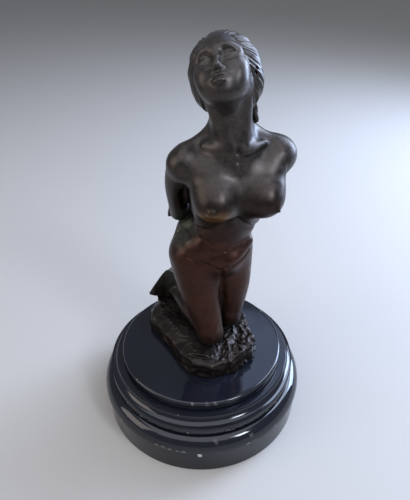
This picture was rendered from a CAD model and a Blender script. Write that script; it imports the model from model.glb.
import math

import bmesh
import bpy
import numpy as np
from mathutils import Matrix, Vector


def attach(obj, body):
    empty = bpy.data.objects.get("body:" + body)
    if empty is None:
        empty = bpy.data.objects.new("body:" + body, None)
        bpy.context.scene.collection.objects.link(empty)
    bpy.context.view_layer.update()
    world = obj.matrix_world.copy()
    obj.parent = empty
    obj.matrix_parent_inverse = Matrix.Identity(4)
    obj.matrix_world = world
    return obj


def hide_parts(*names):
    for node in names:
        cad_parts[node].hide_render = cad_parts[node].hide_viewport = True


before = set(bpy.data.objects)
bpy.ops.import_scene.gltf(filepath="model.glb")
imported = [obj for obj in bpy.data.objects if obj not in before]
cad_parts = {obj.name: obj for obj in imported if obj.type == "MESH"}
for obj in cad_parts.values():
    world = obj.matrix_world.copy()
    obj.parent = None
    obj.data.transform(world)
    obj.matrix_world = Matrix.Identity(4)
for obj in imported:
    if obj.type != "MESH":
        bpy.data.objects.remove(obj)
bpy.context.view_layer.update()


# The bronze is sculpted in its own units, 1000 to the metre at real size, above the plinth's top
figureForm = {
    "unit": 0.001,
    "span": ((-42, 56), (-50, 56), (-1, 203)),  # the space that is measured, along x, y and z
    "gridStep": 0.62,  # fineness of the first mesh
    "quickFactor": 1.6,
    "headReach": 24,  # the mesh is twice as fine this near the head's middle
    "triangles": 190000,
    "restGap": 0.0003,  # metres between the casting's foot and the marble
    "hollowReaches": ((0.7, 0.3), (1.8, 0.35), (4.5, 0.35)),  # how far out from the skin, and its share
    "hollowGain": 1.6,
}


def turnMatrix(turn):
    ax, ay, az = (math.radians(angle) for angle in turn)
    rx = np.array([[1, 0, 0], [0, math.cos(ax), -math.sin(ax)], [0, math.sin(ax), math.cos(ax)]])
    ry = np.array([[math.cos(ay), 0, math.sin(ay)], [0, 1, 0], [-math.sin(ay), 0, math.cos(ay)]])
    rz = np.array([[math.cos(az), -math.sin(az), 0], [math.sin(az), math.cos(az), 0], [0, 0, 1]])
    return rz @ ry @ rx


class Pose:
    # a place, a turn and a size that a group of shapes shares
    def __init__(self, place=(0, 0, 0), matrix=None, size=1.0):
        self.place = np.array(place, float)
        self.matrix = np.eye(3) if matrix is None else matrix
        self.size = size

    def point(self, p):
        return self.place + self.size * (self.matrix @ np.array(p, float))

    def local(self, x, y, z):
        # world places seen in this pose's own axes
        m, (a, b, c) = self.matrix / self.size, self.place
        return tuple(m[0, i] * (x - a) + m[1, i] * (y - b) + m[2, i] * (z - c) for i in range(3))


worldPose = Pose()
headPose = Pose((11.9, -11.5, 180.6), turnMatrix((0, -11, 0)) @ turnMatrix((-42, 0, 0)) @ turnMatrix((0, 0, -9)), 1.11)


# Shapes: a distance function, below zero inside, and the box that the shape fills
def ball(centre, radii, turn=(0, 0, 0), pose=worldPose):
    radii = np.array(radii, float) * pose.size
    middle = pose.point(centre)
    axes = pose.matrix @ turnMatrix(turn)
    reach = np.sqrt(((axes * radii) ** 2).sum(1))

    def distance(x, y, z):
        u, v, w = (axes[0, i] * (x - middle[0]) + axes[1, i] * (y - middle[1]) + axes[2, i] * (z - middle[2])
                   for i in range(3))
        near = np.sqrt((u / radii[0]) ** 2 + (v / radii[1]) ** 2 + (w / radii[2]) ** 2)
        steep = np.sqrt((u / radii[0] ** 2) ** 2 + (v / radii[1] ** 2) ** 2 + (w / radii[2] ** 2) ** 2)
        return near * (near - 1) / np.maximum(steep, 1e-6)

    return distance, middle - reach, middle + reach


def curvePoints(points, radii, steps=12):
    # a smooth curve through the points, with the radius going along
    both = np.column_stack([points, radii])
    if len(both) == 2:
        return both[:, :3], both[:, 3]
    padded = np.vstack([2 * both[0] - both[1], both, 2 * both[-1] - both[-2]])
    out = []
    for i in range(len(both) - 1):
        a, b, c, d = padded[i:i + 4]
        for t in np.arange(steps) / steps:
            out.append(0.5 * (2 * b + (c - a) * t + (2 * a - 5 * b + 4 * c - d) * t * t
                              + (3 * b - a - 3 * c + d) * t ** 3))
    out = np.array(out + [both[-1]])
    return out[:, :3], out[:, 3]


def limb(points, radii, pose=worldPose):
    # a round tapered tube along a curve
    path, thick = curvePoints(np.array([pose.point(p) for p in points]), np.array(radii) * pose.size)
    most = thick.max()

    def distance(x, y, z):
        best = np.float32(1e9)
        for a, b, ra, rb in zip(path[:-1], path[1:], thick[:-1], thick[1:]):
            d = b - a
            px, py, pz = x - a[0], y - a[1], z - a[2]
            t = np.clip((px * d[0] + py * d[1] + pz * d[2]) / (d @ d), 0, 1)
            away = np.sqrt((px - t * d[0]) ** 2 + (py - t * d[1]) ** 2 + (pz - t * d[2]) ** 2)
            best = np.minimum(best, away - ra - t * (rb - ra))
        return best

    return distance, path.min(0) - most, path.max(0) + most


def smoothLine(xs, ys, at):
    # a rounded line through the points that never overshoots them
    xs, ys = np.array(xs, float), np.array(ys, float)
    h = np.diff(xs)
    d = np.diff(ys) / h
    m = np.zeros_like(ys)
    m[0], m[-1] = d[0], d[-1]
    for i in range(1, len(xs) - 1):
        if d[i - 1] * d[i] > 0:
            m[i] = 3 * (h[i - 1] + h[i]) / ((2 * h[i] + h[i - 1]) / d[i - 1] + (h[i] + 2 * h[i - 1]) / d[i])
    i = np.clip(np.searchsorted(xs, at) - 1, 0, len(xs) - 2)
    t = (at - xs[i]) / h[i]
    return ((2 * t ** 3 - 3 * t ** 2 + 1) * ys[i] + (t ** 3 - 2 * t ** 2 + t) * h[i] * m[i]
            + (-2 * t ** 3 + 3 * t ** 2) * ys[i + 1] + (t ** 3 - t ** 2) * h[i] * m[i + 1])


def trunk(levels, power=2.3):
    # an upright body of rounded slices: height, centre x and y, half width, front and back depth, turn
    levels = np.array(levels, float)
    bottom, top = levels[0, 0], levels[-1, 0]
    heights = np.linspace(bottom, top, 200)
    columns = [smoothLine(levels[:, 0], levels[:, i], heights) for i in range(1, 7)]

    def distance(x, y, z):
        level = np.clip(z, bottom, top)
        cx, cy, half, front, back, yaw = (np.interp(level, heights, column) for column in columns)
        c, s = np.cos(np.radians(yaw)), np.sin(np.radians(yaw))
        u = (x - cx) * c + (y - cy) * s
        v = (y - cy) * c - (x - cx) * s
        depth = np.where(v < 0, front, back)
        share = (np.abs(u / half) ** power + np.abs(v / depth) ** power) ** (1 / power)
        flat = np.sqrt(u * u + v * v) * (1 - 1 / np.maximum(share, 1e-3))
        end = np.maximum(bottom - z, z - top)
        over = np.sqrt(np.maximum(flat, 0) ** 2 + np.maximum(end, 0) ** 2)
        return np.where(end > 0, over, np.maximum(flat, end))

    reach = levels[:, 3:6].max()
    low = np.array([levels[:, 1].min() - reach, levels[:, 2].min() - reach, bottom])
    high = np.array([levels[:, 1].max() + reach, levels[:, 2].max() + reach, top])
    return distance, low, high


def softMin(a, b, blend):
    h = np.maximum(blend - np.abs(a - b), 0) / max(blend, 1e-6)
    return np.minimum(a, b) - h * h * blend / 4


def noise(x, y, z, size, seed):
    # smooth value noise from -1 to 1
    table = np.random.RandomState(seed).rand(16, 16, 16) * 2 - 1
    x, y, z = (np.asarray(a, float) for a in (x, y, z))
    cells = [np.floor(a / size).astype(int) for a in (x, y, z)]
    parts = [a / size - cell for a, cell in zip((x, y, z), cells)]
    parts = [t * t * (3 - 2 * t) for t in parts]
    out = 0
    for corner in np.ndindex(2, 2, 2):
        weight = 1
        for side, part in zip(corner, parts):
            weight = weight * (part if side else 1 - part)
        i, j, k = ((cell + side) % 16 for cell, side in zip(cells, corner))
        out = out + weight * table[i, j, k]
    return out


class Clay:
    # a list of shapes that are added, cut, or merged, measured on a grid or at loose points
    farAway = 30  # the distance given where there is no clay

    def __init__(self, pose=worldPose):
        self.steps, self.pose = [], pose

    def add(self, shape, blend):
        self.steps.append(("add", shape, blend))

    def cut(self, shape, blend):
        self.steps.append(("cut", shape, blend))

    def merge(self, other, blend):
        self.steps.append(("merge", other, blend))

    def lump(self, centre, radii, blend, turn=(0, 0, 0)):
        self.add(ball(centre, radii, turn, self.pose), blend)

    def pit(self, centre, radii, blend, turn=(0, 0, 0)):
        self.cut(ball(centre, radii, turn, self.pose), blend)

    def line(self, points, radii, blend):
        self.add(limb(points, radii, self.pose), blend)

    def groove(self, points, radii, blend):
        self.cut(limb(points, radii, self.pose), blend)

    def carve(self, relief, low, high):
        # raises the surface by relief(x, y, z)
        self.steps.append(("carve", (relief, np.array(low, float), np.array(high, float)), 0))

    @staticmethod
    def change(how, old, new, amount):
        if how == "add":
            return softMin(old, new, amount)
        if how == "cut":
            return -softMin(-old, new, amount)
        return old - new

    def grid(self, axes):
        field = np.full([len(axis) for axis in axes], self.farAway, np.float32)
        step = axes[0][1] - axes[0][0]
        for how, what, amount in self.steps:
            if how == "merge":
                field = softMin(field, what.grid(axes), amount)
                continue
            margin = amount + 3 * step + 0.5
            where = tuple(slice(max(int((a - margin - axis[0]) / step), 0),
                                max(int((b + margin - axis[0]) / step) + 2, 0))
                          for axis, a, b in zip(axes, what[1], what[2]))
            x, y, z = (axis[part] for axis, part in zip(axes, where))
            if min(len(x), len(y), len(z)) == 0:
                continue
            new = what[0](x[:, None, None], y[None, :, None], z[None, None, :])
            field[where] = self.change(how, field[where], new, amount)
        return field

    def at(self, points):
        field = np.full(len(points), float(self.farAway))
        for how, what, amount in self.steps:
            if how == "merge":
                field = softMin(field, what.at(points), amount)
                continue
            margin = amount + 2
            near = np.flatnonzero(((points > what[1] - margin) & (points < what[2] + margin)).all(1))
            if len(near):
                new = what[0](*points[near].T)
                field[near] = self.change(how, field[near], new, amount)
        return field


def surfaceFaces(field, axes):
    # four-sided faces around the clay: one point in each grid cell that the surface crosses
    inside = field < 0
    count = np.array(field.shape) - 1
    corners = list(np.ndindex(2, 2, 2))
    total = sum(inside[i:i + count[0], j:j + count[1], k:k + count[2]].astype(np.uint8) for i, j, k in corners)
    cells = np.argwhere((total > 0) & (total < 8))
    number = np.full(count, -1, np.int32)
    number[tuple(cells.T)] = np.arange(len(cells))
    value = {c: field[tuple((cells + c).T)] for c in corners}
    place = np.zeros((len(cells), 3))
    hits = np.zeros(len(cells))
    for first in corners:
        for axis in range(3):
            if first[axis]:
                continue
            second = tuple(1 if i == axis else first[i] for i in range(3))
            crossed = (value[first] < 0) != (value[second] < 0)
            gap = np.where(crossed, value[first] - value[second], 1)
            share = np.where(crossed, value[first] / gap, 0)
            for i in range(3):
                place[:, i] += crossed * (share if i == axis else first[i])
            hits += crossed
    step = axes[0][1] - axes[0][0]
    points = (cells + place / hits[:, None]) * step + [axis[0] for axis in axes]
    faces = []
    for axis in range(3):
        u, v = (axis + 1) % 3, (axis + 2) % 3
        here = tuple(slice(0, -1) if i == axis else slice(None) for i in range(3))
        beyond = tuple(slice(1, None) if i == axis else slice(None) for i in range(3))
        edges = np.argwhere(inside[here] != inside[beyond])
        outward = inside[tuple(edges.T)]
        ring = []
        for du, dv in ((-1, -1), (0, -1), (0, 0), (-1, 0)):
            cell = edges.copy()
            cell[:, u] += du
            cell[:, v] += dv
            ring.append(number[tuple(cell.T)])
        quads = np.column_stack(ring)
        quads[~outward] = quads[~outward][:, ::-1]
        faces.append(quads)
    return points, np.vstack(faces)


def settle(clay, points, rounds=2, reach=0.4, e=0.08, flattest=0.3):
    # moves the points onto the clay's true surface, with its slope measured over e
    for _ in range(rounds):
        here = clay.at(points)
        slope = np.column_stack([clay.at(points + side) - clay.at(points - side) for side in np.eye(3) * e]) / (2 * e)
        push = np.clip(here, -reach, reach) / np.maximum((slope ** 2).sum(1), flattest)
        points = points - slope * push[:, None]
    return points


def sculptTrunk():
    clay = Clay()
    clay.add(trunk([
        (50, 7.6, -0.5, 17, 8, 8.5, 24),
        (58, 7.3, 0, 21.5, 12, 14, 24),
        (66, 7, 0, 23.4, 13.5, 16, 22),
        (75, 6.8, 0, 24, 14, 17, 20),
        (84, 9.4, -1.5, 21.2, 14, 15, 18),
        (92, 13.2, -4, 17.2, 13, 12, 15),
        (101, 15.5, -7, 18.3, 13, 12, 12),
        (112, 17, -10.5, 21.5, 13.6, 13, 11),
        (124, 18.2, -12.5, 22.5, 13.2, 14, 12),
        (134, 18.3, -12, 21, 10.5, 13.5, 12),
        (142, 18, -11, 14, 7.5, 10, 12),
        (148, 17.5, -11, 9, 6, 8, 12),
        (156, 17, -10.8, 4, 3, 4, 12)]), 0)
    # shoulders drawn back
    clay.lump((-7.4, -11.5, 134.6), (8.6, 8.6, 8.8), 8)
    clay.lump((42.2, -3.5, 136.2), (8.8, 8.6, 9), 8)
    # neck, and the slopes from neck to shoulder
    clay.line([(17, -9.5, 141), (16.2, -10, 156), (14.2, -10.5, 171)], [10.6, 9.8, 10], 6)
    clay.line([(14, -1, 163), (8, -3, 149), (-5, -9, 140.5)], [5.2, 4.8, 4.4], 7)
    clay.line([(17, 0, 163), (26, -1.5, 149), (40, -2, 140.5)], [5.2, 4.8, 4.4], 7)
    # the broad muscles from armpit to waist
    clay.line([(-3.5, -5, 131), (-3.6, -2, 118), (0, 0.5, 105), (8, 1, 93)], [5.5, 6.2, 5.6, 3], 6)
    clay.line([(39.5, 0, 131), (37, 0, 118), (29, 1, 102), (22, 3, 92)], [5.5, 5.5, 4, 3], 6)
    # breasts
    clay.line([(5, -15, 134), (7.2, -20, 126)], [4, 6.6], 9)
    clay.lump((8.2, -25.2, 119), (10, 9.9, 8.8), 8, (-18, 0, 0))
    clay.line([(37.5, -9, 134), (35.8, -15, 126)], [5.6, 7], 9)
    clay.lump((33.4, -20, 118.4), (10, 10.2, 9), 8, (-18, 0, 30))
    # shoulder blades drawn together by the folded arms
    for side, tip in (((6.5, -0.5, 131), (9.6, 1, 116)), ((31, 4.5, 131), (26, 4.6, 116))):
        clay.line([side, tip], [6, 3.4], 5)
    clay.line([(10.2, 2.2, 136), (11.2, 3, 126), (11.4, 2.6, 117)], [1.5, 1.6, 1.1], 4)
    clay.line([(23.5, 5, 136), (22.3, 5.6, 126), (22, 5, 117)], [1.5, 1.6, 1.1], 4)
    # the long muscles on each side of the spine, with the groove between them
    clay.line([(9.5, -2.2, 116), (8.5, 2.2, 100), (3, 6.5, 90), (-1, 11, 80)], [4.5, 4.6, 5.2, 5.5], 4)
    clay.line([(20.5, -0.2, 116), (17.8, 4, 100), (13.4, 9, 90), (10, 13.6, 80)], [4.5, 4.6, 5.2, 5.5], 4)
    clay.groove([(16.4, 3.4, 150), (16.9, 5.4, 136), (16.2, 5.2, 122), (14, 5.9, 107), (10.4, 10.6, 93),
                 (4.6, 17.6, 82)], [1.6, 2, 2.4, 2.5, 2.2, 1.6], 2.8)
    # hip, buttocks and belly
    clay.lump((-1.2, 7, 81.5), (13.5, 12, 15.2), 7)
    clay.lump((-2.5, 12, 69), (12.5, 11.5, 13), 5)
    clay.lump((15.5, 16, 69.5), (12.5, 11.5, 13), 4)
    clay.lump((11.5, -8, 76), (13, 10, 12), 6)
    return clay


def sculptDetails(clay):
    # collar bones, with the pit between them and the small knobs of the breast bone below
    clay.line([(22.4, -19.2, 144.3), (25.2, -17.9, 144.8), (28.8, -14.6, 145.4), (33, -10.4, 145.8)],
              [1, 1.3, 1.2, 0.8], 4.2)
    clay.line([(16.2, -19.2, 144.2), (10, -17, 145.2), (3.5, -13.6, 145.4)], [0.9, 1, 0.8], 4.5)
    clay.pit((19.4, -20.9, 146.2), (1.9, 2.2, 2.3), 2.4)
    clay.lump((18.5, -20.7, 142), (1.3, 1.2, 1.5), 1.4)
    clay.lump((18.8, -21.4, 137.8), (1.2, 1.1, 1.6), 1.4)
    # the cords of the neck run from behind the ears to the pit
    for s, foot in ((-1, (17, -19.6, 146.5)), (1, (21.4, -18.6, 146.5))):
        clay.line([headPose.point((s * 8.6, 3.5, -8.5)), (16.7 + s * 6, -15.5, 156), foot], [2.1, 1.8, 0.7], 4.5)
    # nipples
    for ring, tip in (((6.6, -34.4, 118.8), (6.5, -36.1, 118.3)), ((38.6, -26.8, 117.2), (40.2, -28.4, 116.8))):
        clay.lump(ring, (2.4, 2, 2.3), 1.6)
        clay.lump(tip, (0.8, 0.8, 0.8), 0.7)
    # the arch of the ribs and the navel
    for rib in ([(16, -23.6, 110), (7, -20.8, 101), (-1, -13.6, 97.5)],
                [(19, -23.4, 110), (26.5, -16.6, 101), (31.6, -7.6, 97)]):
        clay.groove(rib, [0.3, 0.5, 0.3], 3.4)
    clay.pit((14.8, -18, 84.4), (1.1, 2.6, 1.4), 0.7, (0, 0, 12))
    # the waist folds run in a V to the navel
    for fold in ([(-5.6, -3.6, 94), (-0.4, -15.2, 92.4), (3.2, -17.6, 89.9), (8.6, -18.3, 86.6), (12.6, -17.9, 85)],
                 [(31.5, -1.5, 90), (29.9, -4.4, 87.4), (25.2, -11.4, 86.8), (20.4, -15.2, 85.4), (17, -17.2, 83.8)]):
        clay.groove(fold, [0.8, 1.2, 1.3, 1.1, 0.6], 2.2)
    # hip crests, and the creases where the thighs begin
    clay.line([(28.4, -4.2, 83.4), (24.2, -9.6, 80.6), (20, -13.8, 78.8), (16, -15.6, 77)], [2.4, 2.4, 2.3, 1.6], 3)
    clay.line([(-6, -11, 87), (-1.5, -14, 83.5), (4, -15.4, 79.6)], [1.5, 1.6, 1.2], 4.5)
    clay.groove([(28.6, -5.6, 77.6), (24.6, -11, 75.4), (20, -15.8, 74.4), (15.6, -18, 72.8)],
                [0.7, 1.1, 1.1, 0.7], 2.2)
    clay.groove([(-6.5, -16, 80.6), (0.6, -18.4, 77.2), (5.2, -18.6, 74.9), (9.6, -18.6, 72.6)], [0.6, 1, 1.1, 0.7], 2)
    clay.groove([(-5.5, -17, 82.4), (0.2, -18.2, 81.4), (6.9, -18.6, 81.5), (13, -18, 82.6)],
                [0.5, 0.8, 0.8, 0.4], 2.4)
    clay.groove([(12.5, -18.2, 72), (12.8, -16, 66.5), (13.5, -10.5, 54), (14.4, -8, 40)], [0.7, 1.1, 1.2, 1], 2)
    # small dents left by the mould on the right hip
    clay.pit((-13.4, 2, 86.8), (1.5, 1.5, 1.7), 2.2)
    clay.pit((-12, -3.4, 88.4), (1, 1, 1.8), 2)
    # kneecaps
    clay.lump((6.2, -18.6, 24.5), (4.2, 3.4, 5), 3)
    clay.lump((18, -3.2, 25.5), (4, 3.4, 5), 3)


def sculptLegs():
    clay = Clay()
    clay.line([(-3.5, -2, 74), (-0.5, -5.5, 50), (6, -13.5, 20)], [14.2, 12.3, 8], 0)
    clay.line([(17.5, 4, 74), (19.2, 3, 50), (18, 2, 21.5)], [13.6, 12, 8], 2)
    clay.line([(12.5, -2, 34), (11, 1, 46), (9, 4, 60)], [3.5, 4.5, 6], 2)
    clay.line([(6, -13.5, 19.5), (0, -2, 19.6), (-7, 9.5, 19.8), (-15, 26, 20), (-19, 33, 20)],
              [7.5, 7, 6.8, 5.6, 4.6], 3)
    clay.line([(18, 2, 21), (11, 13, 21), (4, 24, 21), (-8, 42, 20)], [7.5, 8.2, 8.4, 5], 3)
    return clay


def sculptArms():
    # both arms go down behind the body and fold there
    clay = Clay()
    clay.line([(-8.6, -11, 135), (-11.9, -3, 119), (-12.2, 7, 97)], [7.7, 6.5, 5], 0)
    clay.line([(-11.7, 7.5, 97), (-3, 11.5, 98), (8, 13.5, 99.5), (20, 14.5, 101), (27, 15.5, 102)],
              [5.2, 5.5, 4.8, 3.4, 3], 1.5)
    clay.line([(42.4, -3, 137), (39.4, 7, 119), (33.5, 16, 99.5)], [7.8, 6.3, 5.1], 0)
    clay.line([(33.5, 16.5, 99.5), (25, 20, 99.5), (14, 22, 99.2), (3, 21.5, 98), (-5, 18.5, 96.5)],
              [5.3, 5.5, 4.8, 3.5, 3], 1.5)
    # elbows
    clay.lump((-12.6, 9.2, 95.8), (3.6, 3.6, 3.4), 2.5)
    clay.lump((34.6, 19, 98.4), (3.6, 3.6, 3.4), 2.5)
    # her left hand holds the right elbow
    clay.lump((-8.6, 16.6, 95.9), (5.2, 2.7, 4), 2, (0, 0, -28))
    for i in range(4):
        z = 98.4 - 1.75 * i
        reach = (-0.2, -0.5, -0.9, -0.9)[i]
        clay.line([(-9.5, 17, z), (-14.6, 14.9, z - 0.5), (-17.3 + reach, 11.5, z - 1.2)], [1.3, 1.2, 0.95], 0.5)
    # her right hand rests along the other forearm
    clay.lump((28.5, 15.6, 103.2), (4.6, 2.6, 3.6), 2, (0, 0, 12))
    for i in range(4):
        z = 105.2 - 1.75 * i
        clay.line([(30, 15.4, z), (34.6, 15.6, z + 0.4), (38.4, 14.2, z + 0.2)], [1.3, 1.2, 0.95], 0.5)
    return clay


def sculptHead():
    clay = Clay(headPose)
    clay.lump((0, 3, 3.4), (11.6, 13.2, 11.3), 0)
    clay.lump((0, -2.3, 4.4), (9.8, 9.4, 7.9), 4)
    clay.lump((0, -2.8, -3), (10.4, 8.6, 9.5), 5)
    clay.lump((0, -3.8, -8.6), (8.2, 8, 6.4), 5)
    clay.lump((0, -9.4, -13.4), (3.4, 2.9, 2.5), 4)
    clay.add(limb([headPose.point((0, -5.5, -12.5)), (15, -14.5, 164)], [4.6, 5.2]), 5)
    for s in (-1, 1):
        clay.line([(s * 8.4, 1.5, -5), (s * 7.4, 0, -8.5), (s * 4.8, -6, -12), (s * 2, -8.8, -13.6)],
                  [2.4, 2.4, 2.1, 1.8], 5)
        clay.lump((s * 7, -6.4, -3.4), (3.1, 3.2, 2.6), 4)
        clay.lump((s * 5.4, -7.2, -7.2), (4.2, 3.8, 5), 5)
        clay.line([(s * 1.8, -11, 2.6), (s * 5, -11, 3.4), (s * 8.4, -8.6, 1.8)], [0.5, 0.6, 0.4], 4)
        clay.pit((s * 5, -13.1, 0), (2.8, 1.5, 1.5), 3.2)
        # a closed lid, with its crease above and its lashes' line below
        clay.lump((s * 4.8, -9.3, -0.5), (2.75, 2.2, 2), 1)
        clay.groove([(s * 2.9, -11.3, 0.6), (s * 4.9, -11.9, 1.35), (s * 7.3, -10.2, 0.5)], [0.12, 0.2, 0.12], 0.6)
        clay.groove([(s * 2.6, -11.2, -1.2), (s * 4.8, -11.9, -1.75), (s * 7.2, -10.4, -1.15)],
                    [0.14, 0.26, 0.14], 0.3)
    # nose
    clay.line([(0, -11.2, 2.4), (0, -12.2, -1.2), (0, -14.1, -4.4)], [1.5, 1.25, 1.3], 2)
    clay.lump((0, -14.3, -5.2), (1.4, 1.4, 1.15), 1.2)
    for s in (-1, 1):
        clay.lump((s * 1.6, -13.1, -5.8), (0.85, 1.3, 0.85), 0.9)
        clay.pit((s * 0.95, -14.5, -7), (0.55, 0.9, 0.6), 0.3)
    # mouth
    clay.lump((0, -11.4, -9.8), (4.4, 2.4, 3.2), 3.5)
    clay.line([(-3.8, -12.1, -9.8), (-1.3, -13.9, -9), (0, -13.95, -9.3), (1.3, -13.9, -9), (3.8, -12.1, -9.8)],
              [0.4, 0.85, 0.75, 0.85, 0.4], 0.7)
    clay.line([(-3.4, -12.2, -10.4), (-1.3, -13.7, -11.1), (1.3, -13.7, -11.1), (3.4, -12.2, -10.4)],
              [0.45, 1.05, 1.05, 0.45], 0.7)
    clay.groove([(-3.3, -13, -10), (-1.3, -14.7, -9.95), (0, -14.8, -10.1), (1.3, -14.7, -9.95), (3.3, -13, -10)],
                [0.1, 0.32, 0.34, 0.32, 0.1], 0.6)
    return clay


def sculptHair():
    # combed back close to the skull, gathered low at the nape
    clay = Clay(headPose)
    clay.lump((0, 3, 2.4), (14.7, 14.6, 14), 0)
    clay.lump((0, 6.5, -2.5), (13.4, 11.4, 10.6), 4)
    for s in (-1, 1):
        clay.line([(s * 10.6, 0.5, 1), (s * 11.2, 4, -4), (s * 9.6, 8.5, -8.5), (s * 4.5, 12.5, -10.5)],
                  [3.2, 3.4, 3.4, 3.4], 4)
    clay.lump((0, 14, -8), (8.6, 6, 6.6), 4, (25, 0, 0))
    clay.pit((0, -13.2, -4.2), (12, 13.6, 15.6), 1)
    # the lobes of the ears show below the hair
    for s in (-1, 1):
        clay.lump((s * 11.5, 0.6, -4.4), (1.3, 2.1, 3), 0.5, (20, 0, 0))
    clay.pit((12.7, -0.2, -3.8), (1, 1.1, 1.7), 0.4, (20, 0, 0))
    # one short lock hangs from the gathered hair beside the neck
    clay.add(limb([(21.5, -3.5, 171), (25.6, -3.6, 166), (27.4, -3.6, 160.5), (28.9, -4.2, 154.6)],
                  [3.2, 2.4, 2.1, 1.1]), 2)

    def strands(x, y, z):
        u, v, w = headPose.local(x, y, z)
        angle = np.arctan2(u, w * 0.94 + v * 0.33 + 1.5)
        along = v * 0.94 - w * 0.33
        wave = angle * 15 + 0.5 * np.sin(along * 0.22)
        ripple = (noise(wave, along * 0.1, 0 * u, 1, 21) * 0.3
                  + noise(wave * 2.3, along * 0.16, 0 * u, 1, 22) * 0.2)
        return ripple.astype(np.float32)

    clay.carve(strands, (-8, -40, 148), (36, 12, 204))
    return clay


rockOutline = [(-37, 24), (-36, 12), (-26, -4), (-15, -20), (-6, -32), (6, -35.5), (22, -29.5), (34, -18),
               (37.5, -6), (35, 5), (30, 18), (26, 34), (10, 46), (-14, 48), (-31, 38)]
rockTop = 12.2


def outlineDistance(x, y, outline):
    px, py = np.broadcast_arrays(x, y)
    near = np.full(px.shape, 1e9)
    within = np.zeros(px.shape, bool)
    outline = np.array(outline, float)
    for (ax, ay), (bx, by) in zip(outline, np.roll(outline, -1, 0)):
        ex, ey = bx - ax, by - ay
        t = np.clip(((px - ax) * ex + (py - ay) * ey) / (ex * ex + ey * ey), 0, 1)
        near = np.minimum(near, np.hypot(px - ax - t * ex, py - ay - t * ey))
        if ey:
            within ^= ((ay > py) != (by > py)) & (px < ex * (py - ay) / ey + ax)
    return np.where(within, -near, near)


def sculptRock():
    def distance(x, y, z):
        side = outlineDistance(x, y, rockOutline)
        # broken ledges on the walls
        shelf = noise(x, y, z * 0.4, 13, 3) * 1.5 + noise(x, y, z * 1.6, 4.5, 5) * 0.6
        ledge = np.abs(np.mod(z * 0.24 + noise(x, y, 0 * z, 17, 6) * 1.2, 1) - 0.5) - 0.25
        wall = side + 0.9 + 0.16 * (z - 3) + shelf + ledge * 0.9
        # the left side falls away in a bevel outside a rough ridge
        left = np.clip((8 - x) / 10, 0, 1) * np.clip((y + 26) / 12, 0, 1)
        bevel = np.maximum(side + 8.5 + noise(x, y, 0 * z, 6, 12), 0) * 0.55 * left
        slope = 0.1 * np.minimum(y + 10, 0)
        swell = noise(x, y, 0 * z, 12, 8) * 0.7 + noise(x, y, 0 * z, 4, 9) * 0.22
        top = z - rockTop - slope - swell + bevel
        return np.maximum(-softMin(-wall, -top, 2), -z).astype(np.float32)

    clay = Clay()
    clay.add((distance, np.array([-40, -39, 0]), np.array([41, 51, rockTop + 2.5])), 0)

    def crags(x, y, z):
        # deep gouges run down the front and right, finer crumbs elsewhere
        side = outlineDistance(x, y, rockOutline)
        around = np.arctan2(x - 4, -(y - 4))
        front = np.clip((around * 22 - 2) / 8, 0, 1) * np.clip((14 - y) / 10, 0, 1)
        fold = 1 - np.abs(noise(around * 20, side * 0.5 + z * 0.3, 0 * x, 2.3, 31)) * 3.4
        cross = 1 - np.abs(noise(x + y, x - y, z, 3.4, 35)) * 3
        fine = noise(x, y, z, 1.6, 33)
        edge = np.clip(1 - np.abs(side + 8.5) / 2.5, 0, 1)
        crumbs = front * (fold * 0.6 + cross * 0.4 + fine * 0.35) + edge * np.maximum(fine, 0) * 0.8 + fine * 0.13
        return (crumbs * np.clip(z / 2, 0, 1)).astype(np.float32)

    clay.carve(crags, (-40, -40, 1.5), (41, 51, 15))
    # cracks along the ledges
    for path, wide in (
            (((-16.5, -15.5, 11.3), (-12.2, -20.8, 10.9), (-6.6, -24.6, 10.6), (0.5, -26.6, 10.5),
              (6.5, -27.8, 10.4)), 1),
            (((-19.2, -3.5, 11.6), (-15.2, -8.2, 11.7), (-8.6, -10.4, 12)), 0.9),
            (((33, -17.5, 8.6), (29.5, -21.5, 8.2)), 1.5)):
        clay.groove(path, [wide * 0.6] + [wide] * (len(path) - 2) + [wide * 0.6], 0.5)
    return clay


clothOutline = [(-37.3, 30.6), (-33.5, 28.2), (-26, 29), (-17.5, 27), (-12.5, 19), (-5, 13.5), (8, 13), (18, 11.5),
                (27, 14), (29, 24), (25, 35), (15, 44), (2, 48.5), (-13, 48.5), (-25, 45), (-34, 38.5)]
clothRidges = [((-6, 12, 23), (-12, 20, 24), (-22.3, 27, 38.2), (-19, 36, 34), (-14, 42, 26)),
               ((14, 12, 27), (6, 25, 29), (0, 36, 34.5), (-1, 42, 28)),
               ((-21, 31, 31), (0, 38, 30)), ((-23, 27, 35), (-37.5, 31, 9.5))]


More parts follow.
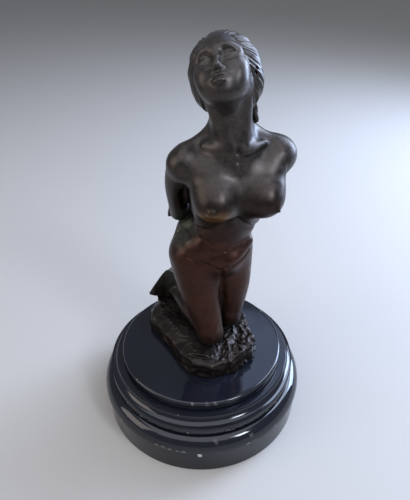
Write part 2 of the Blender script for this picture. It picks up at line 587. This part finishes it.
def sculptCloth():
    # a cloth lies over the feet and calves and hangs to the rock in a scalloped hem
    def heights(x, y):
        top = np.float32(-50)
        fall = 1.15 + 0.6 * np.clip((-22 - x) / 5, 0, 1)
        for (ax, ay, az), (bx, by, bz) in (pair for ridge in clothRidges for pair in zip(ridge, ridge[1:])):
            ex, ey = bx - ax, by - ay
            t = np.clip(((x - ax) * ex + (y - ay) * ey) / (ex * ex + ey * ey), 0, 1)
            away = np.hypot(x - ax - t * ex, y - ay - t * ey)
            here = az + t * (bz - az) - fall * (np.sqrt(away * away + 12) - 3.46)
            top = -softMin(-top, -here, 3)
        return top

    def distance(x, y, z):
        side = outlineDistance(x, y, clothOutline)
        around = np.arctan2(y - 24, x + 6)
        drape = heights(x, y)
        near = np.clip(1 + side / 18, 0, 1) * np.clip((33 - drape) / 12, 0, 1)
        folds = (noise(around * 4.2, side * 0.04, 0 * x, 1, 41) * 1.9
                 + noise(around * 9, side * 0.06, 0 * x, 1, 43) * 0.5)
        top = drape + folds * near
        top = -softMin(-top, -(rockTop + 2.6 + folds * 0.4 * near), 3)
        hem = np.where(side > -4, np.minimum(top - 2.4, 14.4 + 0.7 * np.sin(around * 13)), 4)
        edge = side + 0.7 * np.sin(around * 17)
        return np.maximum(np.maximum((z - top) * 0.66, (hem - z) * 0.66), edge).astype(np.float32)

    clay = Clay()
    clay.add((distance, np.array([-40, 8, 8]), np.array([32, 52, 41])), 0)
    return clay


def sculptFigure():
    body = sculptTrunk()
    body.merge(sculptLegs(), 5)
    sculptDetails(body)
    body.merge(sculptArms(), 1.5)
    # the deep hollow between her right arm and her side
    body.groove([(-8.8, -8.8, 122.5), (-8.3, -8.2, 116.5), (-7.8, -6.4, 110), (-7.4, -3.5, 104)],
                [1.2, 2.6, 2.9, 2.6], 1.6)
    body.groove([(-8, -4.8, 119.5), (-7.8, -3.6, 114), (-7.6, -1, 106)], [1.8, 2.7, 2.6], 1.6)
    body.merge(sculptHead(), 3)
    body.merge(sculptHair(), 0.4)
    body.merge(sculptCloth(), 1.8)
    body.merge(sculptRock(), 0.8)
    return body


def closeCorners(field, fill=-0.02):
    # fills grid corners where the clay would meet itself only at an edge or a point
    while True:
        inside = field < 0
        touching = np.zeros(field.shape, bool)
        for u, v in ((0, 1), (1, 2), (2, 0)):
            cuts = [tuple(slice(i, field.shape[n] - 1 + i) if n == u else slice(j, field.shape[n] - 1 + j) if n == v
                          else slice(None) for n in range(3)) for i, j in ((0, 0), (1, 0), (1, 1), (0, 1))]
            a, b, c, d = (inside[cut] for cut in cuts)
            crossed = (a == c) & (b == d) & (a != b)
            for cut in cuts:
                touching[cut] |= crossed
        cubes = [tuple(slice(k, n - 1 + k) for k, n in zip(corner, field.shape)) for corner in np.ndindex(2, 2, 2)]
        filled = sum(inside[cube].astype(np.uint8) for cube in cubes)
        for first in range(4):
            a, b = inside[cubes[first]], inside[cubes[7 - first]]
            crossed = (a & b & (filled == 2)) | (~a & ~b & (filled == 6))
            for cube in cubes:
                touching[cube] |= crossed
        if not touching.any():
            return field
        field[touching] = np.minimum(field[touching], fill)


def bakePiece(piece):
    # turns the live modifiers into plain mesh
    shape = piece.evaluated_get(bpy.context.evaluated_depsgraph_get())
    piece.data = bpy.data.meshes.new_from_object(shape)
    piece.modifiers.clear()


def pointPlaces(mesh):
    places = np.empty(len(mesh.vertices) * 3)
    mesh.vertices.foreach_get("co", places)
    return places.reshape(-1, 3)


def markPoints(mesh, name, values):
    mesh.attributes.new(name, "FLOAT", "POINT").data.foreach_set("value", values.astype(np.float32))


def figureFoot():
    # where the sculpture's own origin stands on the marble
    return np.array([0, 0, plinthForm["height"] + figureForm["restGap"]])


def markHollows(mesh, clay):
    # how closed in each point is: near 1 in creases and under folds, near 0 on open skin
    places = (pointPlaces(mesh) - figureFoot()) / figureForm["unit"]
    normals = np.empty(places.size)
    mesh.vertex_normals.foreach_get("vector", normals)
    normals = normals.reshape(-1, 3)
    closed = np.zeros(len(places))
    for reach, share in figureForm["hollowReaches"]:
        # over open skin the clay is as far away as the reach, over a crease it is nearer
        away = clay.at(places + normals * reach) / reach
        closed += share * np.clip(1 - away, 0, 1)
    markPoints(mesh, "hollow", np.clip(closed * figureForm["hollowGain"], 0, 1))


def castBronze():
    step = figureForm["gridStep"] * 1
    axes = [np.arange(a, b, step).astype(np.float32) for a, b in figureForm["span"]]
    clay = sculptFigure()
    field = closeCorners(clay.grid(axes))
    print("bronze: clay measured on", field.shape)
    points, quads = surfaceFaces(field, axes)
    mesh = bpy.data.meshes.new("bronzeFigure")
    mesh.from_pydata(points.tolist(), [], quads.tolist())
    body = bmesh.new()
    body.from_mesh(mesh)
    headPlace = Vector(headPose.place)
    fine = {edge for face in body.faces
            if (face.calc_center_median() - headPlace).length < figureForm["headReach"] for edge in face.edges}
    bmesh.ops.subdivide_edges(body, edges=list(fine), cuts=1, use_grid_fill=True)
    bmesh.ops.triangulate(body, faces=body.faces)
    body.to_mesh(mesh)
    body.free()
    places = settle(clay, pointPlaces(mesh))
    places[:, 2] = np.maximum(places[:, 2], 0)
    places = places * figureForm["unit"] + figureFoot()
    mesh.vertices.foreach_set("co", places.ravel())
    print("bronze:", len(mesh.polygons), "triangles before thinning")
    figure = bpy.data.objects.new("bronzeFigure", mesh)
    bpy.context.scene.collection.objects.link(figure)
    if len(mesh.polygons) > figureForm["triangles"]:
        thin = figure.modifiers.new("Thin", "DECIMATE")
        thin.ratio = figureForm["triangles"] / len(mesh.polygons)
        bakePiece(figure)
    # thinning can leave a face double
    figure.data.validate()
    figure.data.shade_smooth()
    markHollows(figure.data, clay)
    print("bronze:", len(figure.data.polygons), "triangles")
    return figure


def linear(hexText):
    # sRGB hex to linear colour
    parts = [int(hexText[i:i + 2], 16) / 255 for i in (0, 2, 4)]
    return tuple(c / 12.92 if c <= 0.04045 else ((c + 0.055) / 1.055) ** 2.4 for c in parts) + (1,)


def addNode(tree, kind, inputs=None, **settings):
    # a node with its settings; each input takes another node's socket or a plain value
    node = tree.nodes.new(kind)
    for name, value in settings.items():
        setattr(node, name, value)
    for name, value in (inputs or {}).items():
        if isinstance(value, bpy.types.NodeSocket):
            tree.links.new(value, node.inputs[name])
        else:
            node.inputs[name].default_value = value
    return node


def maths(tree, operation, *inputs):
    return addNode(tree, "ShaderNodeMath", dict(enumerate(inputs)), operation=operation).outputs[0]


def vectorMaths(tree, operation, *inputs):
    node = addNode(tree, "ShaderNodeVectorMath", dict(enumerate(inputs)), operation=operation)
    return node.outputs["Value" if operation == "LENGTH" else "Vector"]


def mapRange(tree, value, source, target, **settings):
    inputs = {"Value": value, "From Min": source[0], "From Max": source[1], "To Min": target[0], "To Max": target[1]}
    return addNode(tree, "ShaderNodeMapRange", inputs, **settings).outputs[0]


def noiseValue(tree, where, scale, detail, roughness, distortion=0.0):
    inputs = {"Vector": where, "Scale": scale, "Detail": detail, "Roughness": roughness, "Distortion": distortion}
    return addNode(tree, "ShaderNodeTexNoise", inputs).outputs["Fac"]


def mixColours(tree, share, first, second, **settings):
    # each colour is a socket or sRGB hex
    first, second = (linear(colour) if isinstance(colour, str) else colour for colour in (first, second))
    return addNode(tree, "ShaderNodeMix", {0: share, 6: first, 7: second}, data_type="RGBA", **settings).outputs[2]


def newMaterial(name):
    # an empty material, its tree, and the place on the object
    material = bpy.data.materials.new(name)
    material.use_nodes = True
    tree = material.node_tree
    tree.nodes.clear()
    return material, tree, addNode(tree, "ShaderNodeTexCoord").outputs["Object"]


# The marble plinth is turned from one profile, in metres
plinthForm = {
    "height": 0.0473,
    "topRadius": 0.0536,
    "topBevel": 0.0015,
    "topRings": (0.0, 0.02, 0.04, 0.049),  # radii of the points on the flat top
    "wallHeight": 0.0043,
    "grooveDepth": 0.0009,
    "grooveHeight": 0.0011,
    "ogeeRadius": 0.0621,
    "ogeeFoot": 0.0295,
    "ogeeWall": 0.0026,
    "filletDepth": 0.0014,
    "filletHeight": 0.0016,
    "edgeRadius": 0.068,
    "edgeHeight": 0.0188,
    "footRadius": 0.0668,
    "ease": 0.0003,  # softened corners
    "footEase": 0.0004,
    "rowLength": 0.0007,  # points along the profile, so that chips have something to bite into
    "plainRadius": 0.045,  # nearer the axis the rows may be long
    "sides": 720,
    "quickSides": 240,
    "sharpAngle": 38,
    "nickDepth": 0.0007,
    "seed": 4,
}


def plinthProfile(form):
    # radius and height, from the middle of the top to the middle of the underside
    def arc(cr, cz, rr, rz, start, end, steps):
        angles = np.radians(np.linspace(start, end, steps + 1))
        return [(cr + rr * math.cos(a), cz + rz * math.sin(a)) for a in angles]

    top, ogee, edge, foot = form["topRadius"], form["ogeeRadius"], form["edgeRadius"], form["footRadius"]
    bevel, high, ogeeFoot, edgeHigh = form["topBevel"], form["height"], form["ogeeFoot"], form["edgeHeight"]
    ease, footEase = form["ease"], form["footEase"]
    grooveR = top - form["grooveDepth"]
    grooveTop = high - bevel - form["wallHeight"] + form["grooveDepth"]
    grooveFoot = grooveTop - form["grooveHeight"]
    ogeeTop = ogeeFoot + form["ogeeWall"]
    width = (ogee - grooveR - form["grooveDepth"] / 2) / 2
    rise = (grooveFoot - ogeeTop) / 2
    filletR = ogee - form["filletDepth"]
    rollTop = ogeeFoot - form["filletHeight"]
    corners = [(radius, high) for radius in form["topRings"]]
    corners += arc(top - bevel, high - bevel, bevel, bevel, 90, 0, 8)
    corners += [(top, grooveTop + 0.0002), (top - 0.0001, grooveTop), (grooveR, grooveTop - 0.0005),
                (grooveR, grooveFoot)]
    corners += arc(ogee, ogeeTop + 2 * rise, width, rise, 180, 270, 16)
    corners += arc(ogee - width, ogeeTop, width, rise, 90, 0, 16)[1:]
    corners += [(ogee, ogeeFoot + ease), (ogee - ease, ogeeFoot), (filletR, ogeeFoot - ease), (filletR, rollTop)]
    corners += arc(filletR, edgeHigh, edge - filletR, rollTop - edgeHigh, 78, 0, 18)
    corners += [(foot, edgeHigh - (edge - foot)), (foot, footEase), (foot - footEase, 0), (0.03, 0), (0.0, 0.0)]
    rows = [corners[0]]
    for a, b in zip(corners[:-1], corners[1:]):
        chippable = min(a[0], b[0]) > form["plainRadius"] and b[1] > footEase / 2
        pieces = max(1, round(math.dist(a, b) / form["rowLength"])) if chippable else 1
        rows += [(a[0] + (b[0] - a[0]) * i / pieces, a[1] + (b[1] - a[1]) * i / pieces) for i in range(1, pieces + 1)]
    return rows


def turningTree(form):
    # Geometry Nodes lathe: the line of points is swept round the axis, then nicked along its sharp edges
    tree = bpy.data.node_groups.new("turnedMarble", "GeometryNodeTree")
    face = tree.interface
    face.new_socket("Geometry", in_out="INPUT", socket_type="NodeSocketGeometry")
    for name, kind in (("Sides", "Int"), ("Rows", "Int"), ("Nick Depth", "Float"), ("Seed", "Float"),
                       ("Material", "Material")):
        face.new_socket(name, in_out="INPUT", socket_type="NodeSocket" + kind)
    face.new_socket("Geometry", in_out="OUTPUT", socket_type="NodeSocketGeometry")
    given = addNode(tree, "NodeGroupInput").outputs
    index = addNode(tree, "GeometryNodeInputIndex").outputs[0]
    place = addNode(tree, "GeometryNodeInputPosition").outputs[0]
    sheet = addNode(tree, "GeometryNodeMeshGrid", {"Vertices X": maths(tree, "ADD", given["Sides"], 1),
                                                   "Vertices Y": given["Rows"], "Size X": 1, "Size Y": 1})
    column = maths(tree, "FLOOR", maths(tree, "DIVIDE", index, given["Rows"]))
    row = maths(tree, "MODULO", index, given["Rows"])
    profile = addNode(tree, "GeometryNodeSampleIndex", {"Geometry": given["Geometry"], "Value": place, "Index": row},
                      data_type="FLOAT_VECTOR")
    angle = maths(tree, "MULTIPLY", maths(tree, "DIVIDE", column, given["Sides"]), 2 * math.pi)
    turned = addNode(tree, "ShaderNodeVectorRotate", {"Vector": profile.outputs[0], "Angle": angle},
                     rotation_type="Z_AXIS")
    swept = addNode(tree, "GeometryNodeSetPosition", {"Geometry": sheet.outputs["Mesh"],
                                                      "Position": turned.outputs[0]})
    joined = addNode(tree, "GeometryNodeMergeByDistance", {"Geometry": swept.outputs[0], "Distance": 1e-6})
    # nicks: where a fine noise passes its limit the point is drawn towards the axis
    rough = addNode(tree, "ShaderNodeTexNoise", {"Vector": place, "W": given["Seed"], "Scale": 260, "Detail": 2,
                                                 "Roughness": 0.6}, noise_dimensions="4D").outputs[0]
    deep = maths(tree, "MULTIPLY", mapRange(tree, rough, (0.62, 0.74), (0, 1)), given["Nick Depth"])
    high = addNode(tree, "ShaderNodeSeparateXYZ", {0: place}).outputs[2]
    radius = vectorMaths(tree, "LENGTH", vectorMaths(tree, "MULTIPLY", place, (1, 1, 0)))
    # how near a point is to the lowest edge or the ogee's foot, where marble chips first
    near = []
    for edgeRadius, edgeHigh, reach in ((form["edgeRadius"], form["edgeHeight"], 0.0011),
                                        (form["ogeeRadius"], form["ogeeFoot"] + 0.0002, 0.0008)):
        flat = addNode(tree, "ShaderNodeCombineXYZ", {0: maths(tree, "SUBTRACT", radius, edgeRadius),
                                                      1: maths(tree, "SUBTRACT", high, edgeHigh)})
        near.append(mapRange(tree, vectorMaths(tree, "LENGTH", flat.outputs[0]), (0, reach), (1, 0)))
    bite = maths(tree, "MULTIPLY", maths(tree, "MAXIMUM", *near), deep)
    inward = vectorMaths(tree, "NORMALIZE", vectorMaths(tree, "MULTIPLY", place, (-1, -1, 0)))
    push = addNode(tree, "ShaderNodeVectorMath", {0: inward, "Scale": bite}, operation="SCALE")
    nicked = addNode(tree, "GeometryNodeSetPosition", {"Geometry": joined.outputs[0], "Offset": push.outputs[0]})
    real = addNode(tree, "GeometryNodeRealizeInstances", {"Geometry": nicked.outputs[0]})
    dressed = addNode(tree, "GeometryNodeSetMaterial", {"Geometry": real.outputs[0], "Material": given["Material"]})
    addNode(tree, "NodeGroupOutput", {"Geometry": dressed.outputs[0]})
    return tree


# chips in the marble, in mm: place, reach, depth, how pale the fresh stone shows
chips = [
    (-1.3, -67.2, 17.2, 1.5, 1, 1), (-1, -66.8, 15.4, 1.4, 0.8, 1), (-28.1, -61.9, 18.8, 1.3, 0.5, 0.3),
    (-23.5, -63.8, 18.9, 1.6, 0.5, 0.2), (-19.3, -65.2, 18.8, 1.2, 0.5, 0.3), (-14.6, -66.4, 18.9, 1, 0.4, 0.25),
    (-10.6, -67.2, 18.8, 1.4, 0.5, 0.35), (29, -61.5, 18.8, 1.3, 0.5, 0.2), (47, -49.1, 18.8, 1.2, 0.5, 0.3),
    (-52, -43.8, 18.8, 1.5, 0.6, 0.2), (20, 65, 18.8, 1.6, 0.6, 0.3), (-37.6, -49.4, 30.6, 1.2, 0.6, 0.2),
    (-32.3, -53.1, 30.4, 1, 0.5, 0.15), (-8.1, -61.6, 30.4, 1.1, 0.6, 0.3), (16.1, -60, 30.2, 1.8, 0.6, 0.12),
    (19.6, -58.9, 30, 1, 0.4, 0.2), (41.8, -45.9, 30.6, 1.3, 0.6, 0.25), (47.6, -39.9, 30.6, 1.1, 0.5, 0.2),
    (-10, 61.3, 30.4, 1.4, 0.6, 0.4), (-5.4, -53.4, 47, 0.9, 0.35, 0.25), (3.5, -53.5, 46.9, 1.2, 0.2, 0.08),
    (8.8, -52.9, 46.9, 1.3, 0.25, 0.12), (-40.5, -35.2, 46.9, 0.9, 0.3, 0.12), (45, 29.2, 46.9, 1.2, 0.35, 0.3),
    (-18.4, -54.5, 36.5, 0.8, 0.2, 0.5), (30.4, -58.6, 24, 1.5, 0.12, 0.08), (8.7, -64.4, 26, 1.4, 0.12, 0.08),
]


chipForm = {
    "grain": 1.3,  # size of the ragged outline's noise
    "seed": 61,
    "ragged": 0.35,
    "reach": 1.15,
    "steepness": 2.2,
    "inward": 0.8,
    "down": 0.35,
    "paleness": 3,  # how soon the fresh stone shows inside a chip
}


def chipMarble(mesh):
    # each chip is a shallow irregular bite, and its fresh face is marked for the material
    places = pointPlaces(mesh) * 1000
    pale = np.zeros(len(places))
    rough = noise(*places.T, chipForm["grain"], chipForm["seed"])
    for x, y, z, reach, depth, tone in chips:
        far = np.linalg.norm(places - np.array([x, y, z]), axis=1) / reach + rough * chipForm["ragged"]
        bite = np.clip(chipForm["reach"] - far, 0, 1)
        axis = np.array([-x, -y, 0]) / math.hypot(x, y)
        push = axis * chipForm["inward"] + [0, 0, -chipForm["down"]]
        places += np.minimum(bite * chipForm["steepness"], 1)[:, None] * push * depth
        pale = np.maximum(pale, tone * np.clip(bite * chipForm["paleness"], 0, 1))
    mesh.vertices.foreach_set("co", (places * 0.001).ravel())
    markPoints(mesh, "chip", pale)


def turnPlinth(material):
    profile = plinthProfile(plinthForm)
    line = bpy.data.meshes.new("plinthLine")
    line.from_pydata([(r, 0, z) for r, z in profile], [(i, i + 1) for i in range(len(profile) - 1)], [])
    plinth = bpy.data.objects.new("marblePlinth", line)
    bpy.context.scene.collection.objects.link(plinth)
    lathe = plinth.modifiers.new("Lathe", "NODES")
    lathe.node_group = turningTree(plinthForm)
    wanted = {"Sides": plinthForm["sides"], "Rows": len(profile),
              "Nick Depth": plinthForm["nickDepth"], "Seed": float(plinthForm["seed"]), "Material": material}
    for socket in lathe.node_group.interface.items_tree:
        if socket.item_type == "SOCKET" and socket.in_out == "INPUT" and socket.name in wanted:
            lathe[socket.identifier] = wanted[socket.name]
    bakePiece(plinth)
    body = bmesh.new()
    body.from_mesh(plinth.data)
    bmesh.ops.remove_doubles(body, verts=body.verts, dist=1e-6)
    bmesh.ops.recalc_face_normals(body, faces=body.faces)
    body.to_mesh(plinth.data)
    body.free()
    chipMarble(plinth.data)
    plinth.data.shade_smooth()
    plinth.data.set_sharp_from_angle(angle=math.radians(plinthForm["sharpAngle"]))
    print("plinth:", len(plinth.data.polygons), "faces, low", tuple(plinth.bound_box[0]))
    return plinth


bronzeLook = {
    "brown": "2B201A",  # even chocolate patina
    "warm": "3C2016",  # reddish wax worn thin on thighs and belly
    "cool": "423D3A",  # grey bloom on chest, neck and face
    "golden": "7A5528",  # bare metal showing under the right breast
    "ground": "2A2421",  # duller rock
    "green": "474B43",  # old polish residue on the right hip and the cloth
    "foot": "1B1310",  # the rock's lower walls
    "dirt": "0C0A09",  # black wax left in the creases
    "roughness": 0.36,
    "metallic": 0.7,
    "creaseRange": (0.42, 0.95),  # of the mesh's hollow value
    "creaseMost": 0.85,
}
# where each patina lies, in metres: middle, radii, strength
patches = {
    "warm": [((0.006, -0.01, 0.098), (0.034, 0.04, 0.042), 0.9), ((0.008, -0.02, 0.131), (0.03, 0.03, 0.02), 0.6)],
    "cool": [((0.014, -0.02, 0.222), (0.04, 0.045, 0.036), 0.95), ((0.018, -0.016, 0.188), (0.045, 0.04, 0.02), 0.7)],
    "golden": [((0.008, -0.037, 0.1605), (0.0125, 0.012, 0.0065), 0.8),
               ((0.034, -0.033, 0.1575), (0.007, 0.01, 0.0035), 0.3)],
    "ground": [((0.0, 0.004, 0.052), (0.06, 0.07, 0.018), 1.0), ((-0.006, 0.032, 0.068), (0.034, 0.024, 0.022), 0.9)],
    "green": [((-0.010, 0.004, 0.139), (0.011, 0.02, 0.013), 0.75),
              ((-0.022, 0.028, 0.079), (0.016, 0.014, 0.009), 0.4)],
    "foot": [((0.0, 0.004, 0.047), (0.13, 0.15, 0.011), 0.9)],
}


def bronzeMaterial():
    # cast bronze with a waxed chocolate patina: soft gleam on the high places, dull in the hollows
    material, tree, where = newMaterial("waxedBrownBronze")
    cloud = noiseValue(tree, where, 70, 5, 0.62)
    streak = noiseValue(tree, where, 240, 4, 0.6, 0.6)
    grain = noiseValue(tree, where, 1500, 2, 0.6)
    colour = bronzeLook["brown"]
    for name, spots in patches.items():
        for centre, radii, strength in spots:
            away = vectorMaths(tree, "SUBTRACT", where, centre)
            far = vectorMaths(tree, "LENGTH", vectorMaths(tree, "DIVIDE", away, radii))
            blurred = maths(tree, "MULTIPLY_ADD", cloud, 0.9, far)
            share = mapRange(tree, blurred, (1.75, 0.95), (0, strength), interpolation_type="SMOOTHSTEP")
            colour = mixColours(tree, share, colour, bronzeLook[name])
    # cloudy depth in the wax
    depth = mapRange(tree, streak, (0.3, 0.72), (0.62, 1.3))
    toned = mixColours(tree, 1, colour, depth, blend_type="MULTIPLY")
    # black wax and dust keep to the creases
    closed = addNode(tree, "ShaderNodeAttribute", attribute_name="hollow").outputs["Fac"]
    crease = mapRange(tree, closed, bronzeLook["creaseRange"], (0, bronzeLook["creaseMost"]),
                      interpolation_type="SMOOTHSTEP")
    dirty = mixColours(tree, crease, toned, bronzeLook["dirt"])
    even = bronzeLook["roughness"]
    gloss = mapRange(tree, streak, (0.3, 0.7), (even - 0.06, even + 0.1))
    dull = maths(tree, "MULTIPLY_ADD", crease, 0.3, gloss)
    bump = addNode(tree, "ShaderNodeBump", {"Height": grain, "Strength": 0.12, "Distance": 0.0001}).outputs[0]
    skin = addNode(tree, "ShaderNodeBsdfPrincipled", {"Base Color": dirty, "Roughness": dull, "Normal": bump,
                                                      "Metallic": bronzeLook["metallic"]})
    addNode(tree, "ShaderNodeOutputMaterial", {"Surface": skin.outputs[0]})
    return material


marbleLook = {
    "black": "08090E",
    "vein": "171A24",
    "fresh": "C9C5BC",  # crushed stone in chips and scratches
    "roughness": 0.06,
    "wear": 0.1,  # how much rougher the dulled places are
    "speckScale": 150,
    "speckPaleness": 0.35,
}


def marbleMaterial():
    # polished black marble: deep black with a bluish sheen, dulled by fine wear
    material, tree, where = newMaterial("polishedBlackMarble")
    base = mixColours(tree, noiseValue(tree, where, 60, 6, 0.65), marbleLook["black"], marbleLook["vein"])
    # scuffs: small pale specks, few and scattered
    speck = addNode(tree, "ShaderNodeTexVoronoi", {"Vector": where, "Scale": marbleLook["speckScale"],
                                                   "Randomness": 1}, feature="F1").outputs
    dot = mapRange(tree, speck["Distance"], (0.075, 0.05), (0, 1))
    some = addNode(tree, "ShaderNodeSeparateColor", {0: speck["Color"]}).outputs[0]
    dots = maths(tree, "MULTIPLY", dot, maths(tree, "GREATER_THAN", some, 0.9))
    # crushed stone shows in the chips
    chip = addNode(tree, "ShaderNodeAttribute", attribute_name="chip").outputs["Fac"]
    pale = maths(tree, "MAXIMUM", chip, maths(tree, "MULTIPLY", dots, marbleLook["speckPaleness"]))
    worn = mixColours(tree, pale, base, marbleLook["fresh"])
    polish = marbleLook["roughness"]
    gloss = mapRange(tree, noiseValue(tree, where, 45, 7, 0.7), (0.35, 0.7), (polish, polish + marbleLook["wear"]))
    rough = maths(tree, "MULTIPLY_ADD", pale, 0.6, gloss)
    skin = addNode(tree, "ShaderNodeBsdfPrincipled", {"Base Color": worn, "Roughness": rough, "IOR": 1.5})
    addNode(tree, "ShaderNodeOutputMaterial", {"Surface": skin.outputs[0]})
    return material


studio = {
    "table": "A9A5A0",
    "cameraPlace": (0.003, -0.2325, 0.281),
    "cameraPitch": 34.4,
    "cameraRoll": -0.45,
    "lens": 33.84,
    "picture": (410, 500),
    "tableReach": 3,
    "room": "CDD3DE",
    "roomLight": 0.42,
}


def buildStudio():
    scene = bpy.context.scene
    mesh = bpy.data.meshes.new("table")
    table = bpy.data.objects.new("table", mesh)
    scene.collection.objects.link(table)
    reach = studio["tableReach"]
    corners = [(x * reach, y * reach, 0) for x, y in ((-1, -1), (1, -1), (1, 1), (-1, 1))]
    mesh.from_pydata(corners, [], [(0, 1, 2, 3)])
    paint = bpy.data.materials.new("palePaper")
    paint.use_nodes = True
    skin = paint.node_tree.nodes["Principled BSDF"]
    skin.inputs["Base Color"].default_value = linear(studio["table"])
    skin.inputs["Roughness"].default_value = 0.75
    mesh.materials.append(paint)

    # name, place, what it points at, size, watts, colour
    lights = [
        ("window", (0.62, 0.42, 0.72), (0.02, 0, 0.14), (0.5, 0.7), 10, "CFE0FF"),
        ("backSheen", (0.24, 0.9, 1.05), (0.02, -0.03, 0.05), (0.35, 0.3), 0.6, "B9CEFF"),
        ("sidePane", (0.70, 0.38, 0.32), (0, 0, 0.19), (0.3, 0.4), 8, "C4DAFF"),
        ("leftFill", (-0.8, -0.25, 0.5), (0, 0, 0.14), (0.5, 0.6), 2.6, "FFF4EA"),
        ("topSoft", (-0.05, -0.35, 1.1), (0, -0.1, 0.1), (1.4, 1.3), 9, "F0F5FF"),
        ("frontPane", (0.58, -0.62, 0.78), (0, 0, 0.12), (0.2, 0.26), 5.0, "E6EFFF"),
    ]
    for name, place, aim, size, power, colour in lights:
        lamp = bpy.data.lights.new(name, "AREA")
        lamp.shape = "RECTANGLE"
        lamp.size, lamp.size_y = size
        lamp.energy = power
        lamp.color = linear(colour)[:3]
        light = bpy.data.objects.new(name, lamp)
        light.location = place
        light.rotation_euler = (Vector(aim) - Vector(place)).to_track_quat("-Z", "Y").to_euler()
        scene.collection.objects.link(light)
    world = bpy.data.worlds.new("room")
    world.use_nodes = True
    world.node_tree.nodes["Background"].inputs[0].default_value = linear(studio["room"])
    world.node_tree.nodes["Background"].inputs[1].default_value = studio["roomLight"]
    scene.world = world
    scene.view_settings.view_transform = "Standard"

    pitch, roll = math.radians(studio["cameraPitch"]), math.radians(studio["cameraRoll"])
    ahead = Vector((0, math.cos(pitch), -math.sin(pitch)))
    side = Vector((1, 0, 0))
    over = side.cross(ahead)
    right = math.cos(roll) * side + math.sin(roll) * over
    up = math.cos(roll) * over - math.sin(roll) * side
    lens = bpy.data.cameras.new("camera")
    lens.sensor_fit = "HORIZONTAL"
    lens.sensor_width = 36
    wide, high = studio["picture"]
    lens.lens = studio["lens"] * high / wide
    camera = bpy.data.objects.new("camera", lens)
    turn = Matrix((right, up, -ahead)).transposed().to_4x4()
    camera.matrix_world = Matrix.Translation(studio["cameraPlace"]) @ turn
    scene.collection.objects.link(camera)
    scene.camera = camera


buildStudio()
print("studio ready")
figure = castBronze()
figure.data.materials.append(bronzeMaterial())
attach(figure, "root")
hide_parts("bronze_figure")
plinth = turnPlinth(marbleMaterial())
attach(plinth, "root")
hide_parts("plinth")
